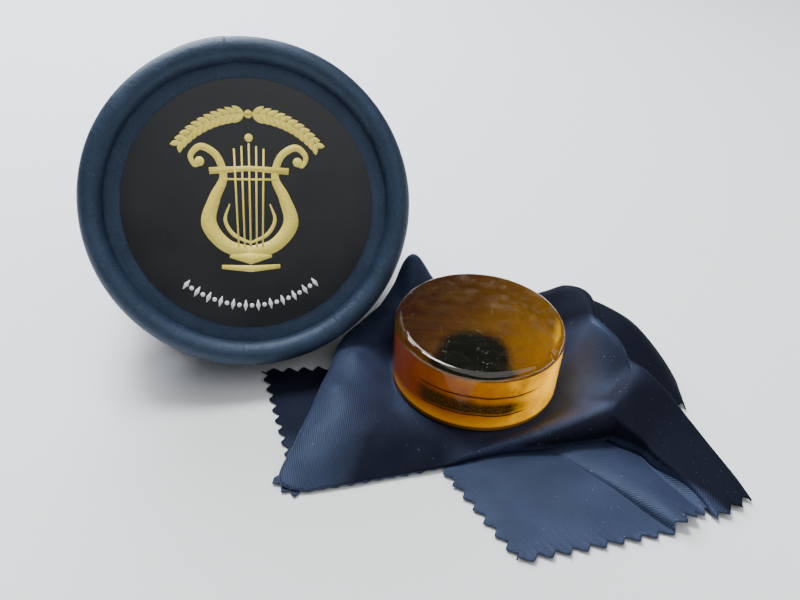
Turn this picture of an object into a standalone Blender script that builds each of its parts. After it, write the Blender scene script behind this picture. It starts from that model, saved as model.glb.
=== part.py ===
"""A cake of bow rosin lying on its wiping cloth, beside the round paper-tube box it is kept in.

Metres, +Z up. The origin is on the table, under the middle of the cake. +X is to the right and
+Y is away from the front. The box is open: its tub stands upright behind, and its lid leans back
against the tub's neck with its face to the front.
"""

import math

import bmesh
import bpy
from mathutils import Vector

# The cake: a cast disc with a rounded upper edge and a shallow recess under it.
CAKE_RADIUS = 0.019
CAKE_HEIGHT = 0.016
CAKE_TOP_ROUND = 0.0012
CAKE_BOTTOM_ROUND = 0.0007
CAKE_RECESS_RADIUS = 0.0085
CAKE_RECESS_DEPTH = 0.0005
CAKE_LEAN = math.radians(3.0)
CAKE_SEAT = 0.0030

# The paper-tube box: lid and tub share one diameter, and a neck tube joins them when closed.
BOX_RADIUS = 0.0360
WRAP_THICKNESS = 0.0003
WRAP_GAP = 0.0001
WALL_THICKNESS = 0.0016
CURL_RADIUS = 0.0024
CURL_STEPS = 8
SHEET_GAP = 0.00015
SLIP_GAP = 0.0003
RECESS_DEPTH = 0.0034
DISC_THICKNESS = 0.0013
FACING_THICKNESS = 0.0003
LABEL_RADIUS = 0.0274
LABEL_THICKNESS = 0.0002
LID_HEIGHT = 0.0190
TUB_HEIGHT = 0.0260
NECK_TOP = 0.0390
NECK_WALL = 0.0013
EDGE_SETBACK = 0.0009

# The lid's stance: how far its face leans back, how far it is turned, and where it stands.
LID_LEAN = math.radians(27.8)
LID_TURN = math.radians(13.2)
LID_BACK_CENTRE = Vector((-0.0536, 0.0287))

# The cloth under the cake, bunched up on the table.
CLOTH_BED = 0.0026
CLOTH_BED_RADIUS = 0.0206
CLOTH_EDGE = 0.0007
CLOTH_OUTLINE = (
    (0.0520, -0.0320), (0.0440, -0.0060), (0.0450, 0.0060), (0.0390, 0.0170),
    (0.0280, 0.0245), (0.0080, 0.0260), (-0.0080, 0.0310), (-0.0175, 0.0300),
    (-0.0220, 0.0180), (-0.0300, 0.0100), (-0.0500, 0.0045), (-0.0430, -0.0290),
    (-0.0085, -0.0280), (0.0055, -0.0480), (0.0150, -0.0470),
)
# Each fold: the two ends of its crest, how high it stands and how wide it is.
CLOTH_FOLDS = (
    ((-0.0280, 0.0020), (-0.0400, -0.0240), 0.0050, 0.0070),
    ((0.0240, 0.0060), (0.0270, 0.0150), 0.0130, 0.0085),
    ((0.0130, -0.0220), (0.0340, -0.0120), 0.0050, 0.0055),
    ((0.0340, -0.0020), (0.0440, -0.0200), 0.0060, 0.0060),
    ((-0.0140, 0.0220), (-0.0120, 0.0260), 0.0170, 0.0042),
)

SEGMENTS = 48
MERGE = 0.00002


def make_material(name, colour, roughness, metallic=0.0):
    """A Principled material of one colour."""
    material = bpy.data.materials.new(name)
    material.use_nodes = True
    shader = material.node_tree.nodes["Principled BSDF"]
    shader.inputs["Base Color"].default_value = (*colour, 1.0)
    shader.inputs["Roughness"].default_value = roughness
    shader.inputs["Metallic"].default_value = metallic
    return material


def add_object(name, mesh, material, collection, parent=None):
    """Put a mesh into the collection under its parent, shaded smooth with sharp edges kept."""
    mesh.materials.append(material)
    mesh.shade_smooth()
    mesh.set_sharp_from_angle(angle=math.radians(35))
    piece = bpy.data.objects.new(name, mesh)
    piece.parent = parent
    collection.objects.link(piece)
    return piece


def add_axis(name, location, rotation, collection):
    """An empty that stands on a moving group's axis."""
    axis = bpy.data.objects.new(name, None)
    axis.empty_display_size = 0.01
    axis.location = location
    axis.rotation_euler = rotation
    collection.objects.link(axis)
    return axis


def arc(centre_r, centre_z, radius, start, end, steps):
    """Points of a round stretch of a profile, with its angles in degrees from +R."""
    points = []
    for step in range(steps + 1):
        angle = math.radians(start + (end - start) * step / steps)
        points.append((centre_r + radius * math.cos(angle), centre_z + radius * math.sin(angle)))
    return points


def add_turned(name, profile, closed, material, collection, parent):
    """Turn a profile of (radius, height) points round the local Z axis with a Screw modifier.

    The profile runs down its outer side. A closed one makes a ring, and an open one starts and
    ends on the axis.
    """
    points = [(radius, 0.0, height) for radius, height in profile]
    edges = [(i, i + 1) for i in range(len(points) - 1)]
    if closed:
        edges.append((len(points) - 1, 0))
    mesh = bpy.data.meshes.new(name)
    mesh.from_pydata(points, edges, [])
    piece = add_object(name, mesh, material, collection, parent)
    screw = piece.modifiers.new("turn", "SCREW")
    screw.axis = "Z"
    screw.angle = math.tau
    screw.steps = SEGMENTS
    screw.render_steps = SEGMENTS
    screw.use_merge_vertices = True
    screw.merge_threshold = MERGE
    screw.use_smooth_shade = True
    return piece


def disc_profile(radius, low, high):
    """A plain round disc between two heights."""
    return [(0.0, high), (radius, high), (radius, low), (0.0, low)]


def end_levels(height):
    """Heights inside a curled end whose rim is at the given height, from the outside in."""
    face = height - RECESS_DEPTH
    facing_low = face - FACING_THICKNESS
    disc_high = facing_low - SHEET_GAP
    return {
        "curl": height - CURL_RADIUS,
        "hook": face + SHEET_GAP,
        "face": face,
        "facing_low": facing_low,
        "disc_high": disc_high,
        "disc_low": disc_high - DISC_THICKNESS,
    }


def core_profile(height):
    """The board tube's wall, with its end at height rolled inwards over the end disc."""
    levels = end_levels(height)
    centre = BOX_RADIUS - CURL_RADIUS
    inset = WRAP_THICKNESS + WRAP_GAP
    roll = arc(centre, levels["curl"], CURL_RADIUS - inset, 180, 0, CURL_STEPS)
    inner = BOX_RADIUS - WALL_THICKNESS
    return roll + [
        (BOX_RADIUS - inset, 0.0),
        (inner, 0.0),
        (inner, levels["hook"]),
        (centre - CURL_RADIUS + inset, levels["hook"]),
    ]


def wrap_profile(height):
    """The covering paper: up the wall, over the roll and down to the end disc."""
    levels = end_levels(height)
    centre = BOX_RADIUS - CURL_RADIUS
    outside = arc(centre, levels["curl"], CURL_RADIUS, 180, 0, CURL_STEPS)
    inside = arc(centre, levels["curl"], CURL_RADIUS - WRAP_THICKNESS, 0, 180, CURL_STEPS)
    return (
        [(centre - CURL_RADIUS, levels["hook"])]
        + outside
        + [(BOX_RADIUS, EDGE_SETBACK), (BOX_RADIUS - WRAP_THICKNESS, EDGE_SETBACK)]
        + inside
        + [(centre - CURL_RADIUS + WRAP_THICKNESS, levels["hook"])]
    )


def upside_down(profile, height):
    """The same profile with its rim at the bottom, still running down its outer side."""
    return [(radius, height - z) for radius, z in reversed(profile)]


def add_cake(collection):
    """The rosin, cast in a round mould, leaning a little on the cloth's uneven bed."""
    amber = make_material("amber_rosin", (0.62, 0.24, 0.02), 0.12)
    axis = add_axis("cake_axis", (0.0, 0.0, CAKE_SEAT), (0.0, CAKE_LEAN, 0.0), collection)
    top = CAKE_HEIGHT - CAKE_TOP_ROUND
    profile = (
        [(0.0, CAKE_HEIGHT)]
        + arc(CAKE_RADIUS - CAKE_TOP_ROUND, top, CAKE_TOP_ROUND, 90, 0, 5)
        + arc(CAKE_RADIUS - CAKE_BOTTOM_ROUND, CAKE_BOTTOM_ROUND, CAKE_BOTTOM_ROUND, 0, -90, 3)
        + [
            (CAKE_RECESS_RADIUS, 0.0),
            (CAKE_RECESS_RADIUS - CAKE_RECESS_DEPTH, CAKE_RECESS_DEPTH),
            (0.0, CAKE_RECESS_DEPTH),
        ]
    )
    add_turned("rosin_cake", profile, False, amber, collection, axis)


def outline_radius(angle):
    """Distance from the origin to the cloth's outline along a direction in the table's plane."""
    ray = Vector((math.cos(angle), math.sin(angle)))
    best = CLOTH_BED_RADIUS
    for index, first in enumerate(CLOTH_OUTLINE):
        start = Vector(first)
        side = Vector(CLOTH_OUTLINE[(index + 1) % len(CLOTH_OUTLINE)]) - start
        across = ray.x * side.y - ray.y * side.x
        if abs(across) < 1e-9:
            continue
        along_ray = (start.x * side.y - start.y * side.x) / across
        along_side = (start.x * ray.y - start.y * ray.x) / across
        if along_ray > 0.0 and 0.0 <= along_side <= 1.0:
            best = max(best, along_ray)
    return best


def fold_height(point):
    """Height of the folds at a point of the table, each a smooth ridge along its crest."""
    height = 0.0
    for first, last, rise, width in CLOTH_FOLDS:
        start = Vector(first)
        crest = Vector(last) - start
        along = max(0.0, min(1.0, (point - start).dot(crest) / crest.length_squared))
        distance = (point - start - along * crest).length
        height += rise * math.exp(-((distance / width) ** 2))
    return height


def cloth_point(co):
    """Move a vertex of a unit sphere to its place on the cloth.

    The upper half becomes the folded top, the equator the edge, and the lower half the flat
    underside. The cake's bed takes the inner rings.
    """
    angle = math.atan2(co.y, co.x)
    reach = math.acos(min(1.0, abs(co.z))) / (math.pi / 2)
    direction = Vector((math.cos(angle), math.sin(angle)))
    edge = outline_radius(angle)
    bed_share = 0.30
    if reach <= bed_share:
        radius = CLOTH_BED_RADIUS * reach / bed_share
    else:
        radius = CLOTH_BED_RADIUS + (edge - CLOTH_BED_RADIUS) * (reach - bed_share) / (1 - bed_share)
    if abs(co.z) < 1e-6:
        return direction.x * edge, direction.y * edge, CLOTH_EDGE
    if co.z < 0.0:
        return direction.x * radius * 0.985, direction.y * radius * 0.985, 0.0
    point = direction * radius
    bed = CLOTH_BED - point.x * math.tan(CAKE_LEAN)
    if reach <= bed_share + 1e-6:
        return point.x, point.y, bed
    fade = (1.0 - reach) / (1.0 - bed_share)
    flat = CLOTH_EDGE + (min(bed, CLOTH_BED) - CLOTH_EDGE) * fade
    rise = min(1.0, 4.0 * fade)
    return point.x, point.y, flat + fold_height(point) * rise


def add_cloth(collection):
    """The wiping cloth as one plain soft mass of the folded cloth's outer shape."""
    navy = make_material("navy_twill", (0.012, 0.016, 0.032), 0.85)
    cage = bmesh.new()
    bmesh.ops.create_uvsphere(cage, u_segments=64, v_segments=40, radius=1.0)
    for vertex in cage.verts:
        vertex.co = cloth_point(vertex.co)
    mesh = bpy.data.meshes.new("rosin_cloth")
    cage.to_mesh(mesh)
    cage.free()
    add_object("rosin_cloth", mesh, navy, collection)


def add_lid(collection, parent):
    """The lid: a board tube with a rolled rim, its covering paper, end disc, facing and label."""
    navy = make_material("navy_paper", (0.020, 0.030, 0.055), 0.45)
    board = make_material("grey_board", (0.30, 0.27, 0.23), 0.9)
    black = make_material("black_label", (0.006, 0.007, 0.009), 0.35)
    levels = end_levels(LID_HEIGHT)
    inner = BOX_RADIUS - WALL_THICKNESS - SLIP_GAP
    label_low = levels["face"] + SHEET_GAP
    facing = disc_profile(inner, levels["facing_low"], levels["face"])
    disc = disc_profile(inner, levels["disc_low"], levels["disc_high"])
    label = disc_profile(LABEL_RADIUS, label_low, label_low + LABEL_THICKNESS)
    add_turned("lid_core", core_profile(LID_HEIGHT), True, board, collection, parent)
    add_turned("lid_wrap", wrap_profile(LID_HEIGHT), True, navy, collection, parent)
    add_turned("lid_disc", disc, False, board, collection, parent)
    add_turned("lid_facing", facing, False, navy, collection, parent)
    add_turned("lid_label", label, False, black, collection, parent)


def add_tub(collection, parent):
    """The tub: the same rolled tube the other way up, its base disc and facing, and its neck."""
    navy = make_material("navy_paper_tub", (0.020, 0.030, 0.055), 0.45)
    board = make_material("grey_board_tub", (0.30, 0.27, 0.23), 0.9)
    liner = make_material("neck_paper", (0.018, 0.018, 0.020), 0.6)
    levels = end_levels(TUB_HEIGHT)
    inner = BOX_RADIUS - WALL_THICKNESS - SLIP_GAP
    disc = upside_down(disc_profile(inner, levels["disc_low"], levels["disc_high"]), TUB_HEIGHT)
    facing = upside_down(disc_profile(inner, levels["facing_low"], levels["face"]), TUB_HEIGHT)
    neck_low = TUB_HEIGHT - levels["disc_low"] + SLIP_GAP
    neck = [
        (inner, NECK_TOP),
        (inner, neck_low),
        (inner - NECK_WALL, neck_low),
        (inner - NECK_WALL, NECK_TOP),
    ]
    core = upside_down(core_profile(TUB_HEIGHT), TUB_HEIGHT)
    wrap = upside_down(wrap_profile(TUB_HEIGHT), TUB_HEIGHT)
    add_turned("tub_core", core, True, board, collection, parent)
    add_turned("tub_wrap", wrap, True, navy, collection, parent)
    add_turned("tub_neck", neck, True, liner, collection, parent)
    add_turned("tub_base_disc", disc, False, board, collection, parent)
    add_turned("tub_base_facing", facing, False, navy, collection, parent)


def tub_centre():
    """Where the tub stands, so that the lid's inner face just meets the front of its neck.

    Distances run from the middle of the lid's open edge, level and away from its face.
    """
    away = Vector((-math.sin(LID_TURN), math.cos(LID_TURN)))
    face_depth = end_levels(LID_HEIGHT)["disc_low"]
    centre_height = BOX_RADIUS * math.cos(LID_LEAN)
    rise = (NECK_TOP - centre_height) * math.sin(LID_LEAN)
    contact = (rise - face_depth + SLIP_GAP) / math.cos(LID_LEAN)
    neck_radius = BOX_RADIUS - WALL_THICKNESS - SLIP_GAP
    return LID_BACK_CENTRE + away * (contact + neck_radius)


def build():
    """Clear the scene and make every piece."""
    for old in list(bpy.data.objects):
        bpy.data.objects.remove(old, do_unlink=True)
    collection = bpy.data.collections.new("rosin_cake_set")
    bpy.context.scene.collection.children.link(collection)

    add_cloth(collection)
    add_cake(collection)

    stand = tub_centre()
    tub_axis = add_axis("tub_axis", (stand.x, stand.y, 0.0), (0.0, 0.0, LID_TURN), collection)
    add_tub(collection, tub_axis)

    centre_height = BOX_RADIUS * math.cos(LID_LEAN)
    lid_axis = add_axis(
        "lid_axis",
        (LID_BACK_CENTRE.x, LID_BACK_CENTRE.y, centre_height),
        (math.pi / 2 - LID_LEAN, 0.0, LID_TURN),
        collection,
    )
    add_lid(collection, lid_axis)


build()
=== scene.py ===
"""Looks of a rosin cake on its wiping cloth, beside the open round paper-tube box it is kept in."""

import math

import bmesh
import bpy
import numpy as np
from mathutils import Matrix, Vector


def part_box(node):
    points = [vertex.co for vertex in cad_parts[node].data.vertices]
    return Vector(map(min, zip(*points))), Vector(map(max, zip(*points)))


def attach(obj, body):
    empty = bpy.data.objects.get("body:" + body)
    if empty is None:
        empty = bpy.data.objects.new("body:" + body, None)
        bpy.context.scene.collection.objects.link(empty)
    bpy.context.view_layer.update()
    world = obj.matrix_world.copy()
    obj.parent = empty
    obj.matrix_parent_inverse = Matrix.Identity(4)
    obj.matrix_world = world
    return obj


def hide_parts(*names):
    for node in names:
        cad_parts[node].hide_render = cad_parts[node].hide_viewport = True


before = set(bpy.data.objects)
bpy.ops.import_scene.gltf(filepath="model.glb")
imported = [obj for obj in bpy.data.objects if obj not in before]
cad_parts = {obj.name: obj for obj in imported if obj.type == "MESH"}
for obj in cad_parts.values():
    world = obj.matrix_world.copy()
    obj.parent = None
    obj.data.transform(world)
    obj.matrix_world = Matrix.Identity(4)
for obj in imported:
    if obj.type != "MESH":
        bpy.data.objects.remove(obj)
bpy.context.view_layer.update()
MM = 0.001

# ---------------------------------------------------------------------------------------------
# The lid's board tube. A lid of this kind is a wound board tube whose upper end is rolled
# inwards over an end disc. It leans back with its face to the front, its open edge on the table.

LID_LEAN = math.radians(27.8)
LID_TURN = math.radians(13.2)
LID_RADIUS = 36.0
LID_HEIGHT = 19.0
LID_BACK = np.array((-53.6, 28.7, LID_RADIUS * math.cos(LID_LEAN)))
ROLL = 2.6
WALL = 1.6
WRAP = 0.4
FACE_DEPTH = 3.4


def stance(lean, turn, origin):
    """A place for a turned piece: its own right, up and outward directions, and its origin.

    The outward axis starts upright, is tipped over to the front by a quarter turn less the lean,
    and is then turned about the vertical.
    """
    out = np.array((math.sin(turn) * math.cos(lean), -math.cos(turn) * math.cos(lean), math.sin(lean)))
    right = np.array((math.cos(turn), math.sin(turn), 0.0))
    return np.stack((right, np.cross(out, right), out)), np.asarray(origin, float)


def grid_mesh(name, points, closed_u=False, closed_v=False, uv=None):
    """A mesh from a grid of points in millimetres: rows run along u and columns along v.

    Where a whole row falls on one point, as at a pole, its vertices are merged afterwards. uv
    holds one pair for each point, in millimetres of material.
    """
    rows, columns = points.shape[:2]
    index = np.arange(rows * columns).reshape(rows, columns)
    if closed_u:
        index = np.vstack((index, index[:1]))
    if closed_v:
        index = np.hstack((index, index[:, :1]))
    quads = np.stack((index[:-1, :-1], index[:-1, 1:], index[1:, 1:], index[1:, :-1]), -1).reshape(-1, 4)
    mesh = bpy.data.meshes.new(name)
    mesh.vertices.add(rows * columns)
    mesh.vertices.foreach_set("co", (points * MM).astype(np.float32).ravel())
    mesh.loops.add(quads.size)
    mesh.loops.foreach_set("vertex_index", quads.ravel().astype(np.int32))
    mesh.polygons.add(len(quads))
    mesh.polygons.foreach_set("loop_start", np.arange(0, quads.size, 4, dtype=np.int32))
    mesh.update(calc_edges=True)
    if uv is not None:
        layer = mesh.uv_layers.new(name="cloth")
        layer.data.foreach_set("uv", (uv.reshape(-1, 2)[quads.ravel()] * MM).astype(np.float32).ravel())
    mesh.shade_smooth()
    return mesh


def add_piece(name, mesh, body, finish):
    """Put a finished mesh into the scene, in its material, moving with one CAD body."""
    clean = bmesh.new()
    clean.from_mesh(mesh)
    bmesh.ops.remove_doubles(clean, verts=clean.verts, dist=0.002 * MM)
    bmesh.ops.dissolve_degenerate(clean, edges=clean.edges, dist=0.0005 * MM)
    bmesh.ops.recalc_face_normals(clean, faces=clean.faces)
    clean.to_mesh(mesh)
    clean.free()
    mesh.materials.append(finish)
    mesh.set_sharp_from_angle(angle=math.radians(50))
    piece = bpy.data.objects.new(name, mesh)
    bpy.context.scene.collection.objects.link(piece)
    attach(piece, body)
    return piece


def turned(profile, place, steps=240, swell=None):
    """A turned surface: a profile of (radius, height) carried round an axis.

    swell(profile, angle) may add to each point's radius and height, so that the surface isn't
    perfectly round. The result is a grid of points in the row's frame, in millimetres.
    """
    axes, origin = place
    profile = np.asarray(profile, float)
    angle = np.linspace(0, 2 * np.pi, steps, endpoint=False)
    radius = np.repeat(profile[:, :1], steps, 1)
    height = np.repeat(profile[:, 1:], steps, 1)
    if swell is not None:
        more_radius, more_height = swell(profile, angle)
        radius = radius + more_radius
        height = height + more_height
    across = radius[..., None] * (np.cos(angle)[:, None] * axes[0] + np.sin(angle)[:, None] * axes[1])
    return origin + across + height[..., None] * axes[2]


def arc(centre, radius, start, end, steps):
    """Points of an arc, with its angles in degrees."""
    angle = np.radians(np.linspace(start, end, steps + 1))
    return np.stack((centre[0] + radius * np.cos(angle), centre[1] + radius * np.sin(angle)), -1)


def along(*stretches):
    """Join stretches of a profile end to end."""
    return np.vstack([np.atleast_2d(stretch) for stretch in stretches])


def refined(profile, spacing):
    """The same profile with long straight stretches cut into steps no longer than spacing."""
    parts = []
    for start, end in zip(profile, np.roll(profile, -1, 0)):
        count = max(1, int(np.ceil(np.linalg.norm(end - start) / spacing)))
        parts.append(start + (end - start) * np.linspace(0, 1, count, endpoint=False)[:, None])
    return np.vstack(parts)


class Wire:
    """A value in a material: adding, scaling and comparing it adds the Math nodes that do so."""

    def __init__(self, finish, socket):
        self.finish = finish
        self.socket = socket

    def maths(self, operation, other=None):
        """One Math node on this value and perhaps another."""
        return self.finish.node("ShaderNodeMath", {"operation": operation}, {0: self, 1: other})[0]

    def __add__(self, other):
        return self.maths("ADD", other)

    def __sub__(self, other):
        return self.maths("SUBTRACT", other)

    def __rsub__(self, other):
        return self.finish.node("ShaderNodeMath", {"operation": "SUBTRACT"}, {0: other, 1: self})[0]

    def __mul__(self, other):
        return self.maths("MULTIPLY", other)

    def __pow__(self, other):
        return self.maths("POWER", other)

    __radd__ = __add__
    __rmul__ = __mul__

    def above(self, low, high):
        """0 below low, 1 above high, and a straight climb between them."""
        settings = {"clamp": True}
        sockets = {"Value": self, "From Min": low, "From Max": high}
        return self.finish.node("ShaderNodeMapRange", settings, sockets)["Result"]


class Placed:
    """A node in a material, whose outputs are wires."""

    def __init__(self, finish, node):
        self.finish = finish
        self.made = node

    def __getitem__(self, key):
        return Wire(self.finish, self.made.outputs[key])


class Finish:
    """A material while it is wired."""

    def __init__(self, name):
        self.material = bpy.data.materials.new(name)
        self.material.use_nodes = True
        self.tree = self.material.node_tree
        self.shader = self.tree.nodes["Principled BSDF"]

    def link(self, value, socket):
        """Give a socket its value, or a wire to it."""
        if isinstance(value, Wire):
            self.tree.links.new(value.socket, socket)
        elif value is not None:
            socket.default_value = value

    def node(self, kind, settings=None, sockets=None):
        """Add a node of any kind, with its settings first and then its sockets."""
        made = self.tree.nodes.new(kind)
        for key, value in (settings or {}).items():
            if key == "stops":
                self.stops(made.color_ramp, value)
            else:
                setattr(made, key, value)
        for key, value in (sockets or {}).items():
            self.link(value, made.inputs[key])
        return Placed(self, made)

    def stops(self, ramp, values):
        """Set a colour ramp's stops from pairs of a place and a colour."""
        while len(ramp.elements) < len(values):
            ramp.elements.new(0.5)
        for element, (place, colour) in zip(ramp.elements, values):
            element.position = place
            element.color = (*colour, 1.0)

    def mix(self, share, first, second):
        """A colour that goes from the first to the second with the share."""
        def colour(value):
            return value if isinstance(value, Wire) else (*value, 1.0)

        sockets = {0: share, 6: colour(first), 7: colour(second)}
        return self.node("ShaderNodeMix", {"data_type": "RGBA"}, sockets)[2]

    def noise(self, place, scale, detail=3.0, roughness=0.5):
        """A noise value from 0 to 1 on the given place."""
        sockets = {"Vector": place, "Scale": scale, "Detail": detail, "Roughness": roughness}
        return self.node("ShaderNodeTexNoise", None, sockets)[0]

    def bump(self, height, distance, strength):
        """A bump from a height value, with its depth in metres."""
        sockets = {"Height": height, "Distance": distance, "Strength": strength}
        return self.node("ShaderNodeBump", None, sockets)["Normal"]

    def set(self, **sockets):
        """Fill the Principled shader's sockets, with _ for a space in a name."""
        for key, value in sockets.items():
            if isinstance(value, tuple):
                value = (*value, 1.0)
            self.link(value, self.shader.inputs[key.replace("_", " ")])
        return self.material

    def matt_dust_and_shade(self, share, colour):
        """Lay a matt coat of one colour over the shader, as far as the share says: real dust on the rosin,
        painted shade on the twill.
        """
        sockets = {"Base Color": (*colour, 1.0), "Roughness": 0.9, "Specular IOR Level": 0.06}
        dust = self.node("ShaderNodeBsdfPrincipled", None, sockets)
        sockets = {0: share, 1: Wire(self, self.shader.outputs[0]), 2: dust["BSDF"]}
        mixed = self.node("ShaderNodeMixShader", None, sockets)[0]
        self.link(mixed, self.tree.nodes["Material Output"].inputs["Surface"])
        return self.material


def board_finish(name, colour):
    """Bare grey board: short pressed fibres, a little lighter and darker, and no gloss."""
    board = Finish(name)
    place = board.node("ShaderNodeTexCoord")["Object"]
    fibre = board.noise(place, 2600.0, 4.0, 0.65)
    cloud = board.noise(place, 260.0, 2.0)
    pale = tuple(1.35 * part for part in colour)
    dark = tuple(0.70 * part for part in colour)
    shade = board.mix((fibre * 0.6 + cloud * 0.4).above(0.32, 0.68), dark, pale)
    return board.set(Base_Color=shade, Roughness=0.92, Normal=board.bump(fibre, 0.00006, 0.6))


LID_PLACE = stance(LID_LEAN, LID_TURN, LID_BACK)
BOARD = board_finish("grey_board", (0.33, 0.29, 0.24))


def tube_core(height, radius):
    """The wall's outline: the rolled end, down the outside, the raw edge, and up the inside."""
    hook = height - FACE_DEPTH + 0.15
    roll = arc((radius - ROLL, height - ROLL), ROLL - WRAP, 180, 0, 16)
    outer = radius - WRAP
    inner = radius - WALL
    foot = [(outer, 0.25), (outer - 0.2, 0.0), (inner + 0.2, 0.0), (inner, 0.25)]
    inside = [(inner, hook), (radius - 2 * ROLL + WRAP, hook)]
    return refined(along(roll, foot, inside), 4.0)


core = add_piece(
    "lid_board_tube",
    grid_mesh("lid_board_tube", turned(tube_core(LID_HEIGHT, LID_RADIUS), LID_PLACE), True, True),
    "lid", BOARD,
)
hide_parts("lid_core")

# ---------------------------------------------------------------------------------------------
# The lid's covering paper. Navy paper with a fine pressed grain is glued round the tube and
# rolled in with its end, which crimps it into small radial creases. Its ends lap in one seam.

NAVY = (0.0110, 0.0190, 0.0380)


def navy_paper_finish():
    """Dyed covering paper: pressed grain, a few pale rubbed specks, and a soft uneven gloss."""
    paper = Finish("navy_paper")
    place = paper.node("ShaderNodeTexCoord")["Object"]
    fine = paper.noise(place, 1900.0, 4.0, 0.65)
    broad = paper.noise(place, 190.0, 3.0)
    speck = paper.noise(place, 1500.0, 1.0).above(0.70, 0.78)
    pale = tuple(2.1 * part + 0.004 for part in NAVY)
    rubbed = tuple(5.0 * part + 0.02 for part in NAVY)
    base = paper.mix((fine * 0.55 + broad * 0.45).above(0.30, 0.75), NAVY, pale)
    base = paper.mix(speck * 0.35, base, rubbed)
    gloss = 0.45 + (fine - 0.5) * 0.22 + (broad - 0.5) * 0.12
    height = fine * 0.7 + paper.noise(place, 1300.0, 2.0) * 0.3
    return paper.set(
        Base_Color=base, Roughness=gloss, Normal=paper.bump(height, 0.00022, 0.9),
        Specular_IOR_Level=0.50, Specular_Tint=(0.66, 0.84, 1.0),
    )


def crimp(angle, strength):
    """Small radial creases of crimped paper: a sum of waves round the ring whose steps between
    crests differ, squared up so that they are narrow valleys between flat stretches."""
    waves = np.zeros_like(angle)
    for count, shift, share in ((97, 0.4, 0.9), (131, 2.1, 0.7), (61, 4.0, 0.8), (173, 1.3, 0.5)):
        waves = waves + share * np.cos(count * angle + shift + 1.7 * np.sin(5 * angle + shift))
    return -strength * np.clip(waves - 0.9, 0.0, None) ** 1.3


def lap(angle, at, width, rise):
    """The paper's lapped end: a sharp step up at one angle that fades out over the lap's width."""
    past = np.mod(angle - at, 2 * np.pi)
    return rise * np.clip(past * 60.0, 0, 1) * np.clip(1.0 - (past - width) * 8.0, 0, 1)


def paper_swell(height, seam):
    """How a rolled paper cover departs from round: crimps on the roll's inner half, the lap of
    the seam, and a slow unevenness of the hand-pushed roll."""

    def swell(profile, angle):
        radius = profile[:, :1]
        inward = np.clip((LID_RADIUS - 0.4 * ROLL - radius) / (1.5 * ROLL), 0.0, 1.0)
        on_roll = np.clip((profile[:, 1:] - (height - 1.6 * ROLL)) / ROLL, 0.0, 1.0)
        crimps = crimp(angle[None, :], 0.085) * inward * on_roll
        slow = 0.05 * np.sin(3 * angle + 0.8) + 0.035 * np.sin(7 * angle + 2.0)
        step = lap(angle, seam, 0.20, 0.15)[None, :]
        outward = (radius - (LID_RADIUS - ROLL)) / ROLL
        upward = np.clip((profile[:, 1:] - (height - ROLL)) / ROLL, 0.0, 1.0)
        more_radius = (step + slow * on_roll) * outward + 0.4 * crimps
        more_height = crimps + (step + slow[None, :]) * upward * on_roll
        return more_radius, more_height

    return swell


def tube_wrap(height, radius):
    """The paper's outline: in under the roll, over it, down the outside and back up behind."""
    centre = (radius - ROLL, height - ROLL)
    hook = height - FACE_DEPTH + 0.12
    outside = arc(centre, ROLL, 180, 0, 36)
    inside = arc(centre, ROLL - 0.3, 0, 180, 18)
    foot = [(radius, 0.75), (radius - 0.08, 0.65), (radius - 0.22, 0.65), (radius - 0.3, 0.75)]
    return refined(along([(radius - 2 * ROLL, hook)], outside, foot, inside,
                         [(radius - 2 * ROLL + 0.3, hook)]), 1.5)


NAVY_PAPER = navy_paper_finish()
LID_SEAM = math.radians(90.5)
wrap = add_piece(
    "lid_covering_paper",
    grid_mesh(
        "lid_covering_paper",
        turned(tube_wrap(LID_HEIGHT, LID_RADIUS), LID_PLACE, 720, paper_swell(LID_HEIGHT, LID_SEAM)),
        True, True,
    ),
    "lid", NAVY_PAPER,
)
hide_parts("lid_wrap")

# ---------------------------------------------------------------------------------------------
# The lid's end disc and its facing. The disc is cut from the same board and held under the roll;
# the facing is the navy paper pasted on it, pressed slightly into the corner under the roll.

FACE = LID_HEIGHT - FACE_DEPTH
INNER = LID_RADIUS - WALL - 0.3


def rounded(corners, radius):
    """A closed outline with its corners rounded: each corner becomes a quadratic curve that
    starts and ends the same distance from it along its two sides."""
    corners = np.asarray(corners, float)
    before = np.roll(corners, 1, 0) - corners
    after = np.roll(corners, -1, 0) - corners
    lengths = np.linalg.norm(before, axis=1), np.linalg.norm(after, axis=1)
    reach = np.minimum(radius, 0.45 * np.minimum(*lengths))[:, None]
    first = corners + before / lengths[0][:, None] * reach
    last = corners + after / lengths[1][:, None] * reach
    t = np.linspace(0, 1, 5)[None, :, None]
    curve = (1 - t) ** 2 * first[:, None] + 2 * t * (1 - t) * corners[:, None] + t**2 * last[:, None]
    return curve.reshape(-1, 2)


def disc_outline(radius, low, high, edge):
    """A disc's outline from its middle, over its rounded edge and back to its middle."""
    rim = rounded([(radius, high), (radius, low)], edge)
    return along([(0.0, high)], np.stack((np.linspace(4, radius - 2, 12), np.full(12, high)), -1), rim,
                 np.stack((np.linspace(radius - 2, 4, 6), np.full(6, low)), -1), [(0.0, low)])


def face_swell(profile, angle):
    """Pasted paper: broad ripples a few hundredths of a millimetre high, none at the middle."""
    reach = profile[:, :1] / INNER
    ripple = 0.030 * np.sin(11 * angle + 3 * reach) + 0.022 * np.sin(23 * angle - 5 * reach)
    pressed = -0.05 * np.clip((reach - 0.90) / 0.1, 0, 1)
    upper = profile[:, 1:] > profile[:, 1:].mean()
    return np.zeros_like(ripple), (ripple * reach**3 + pressed) * upper


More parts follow.
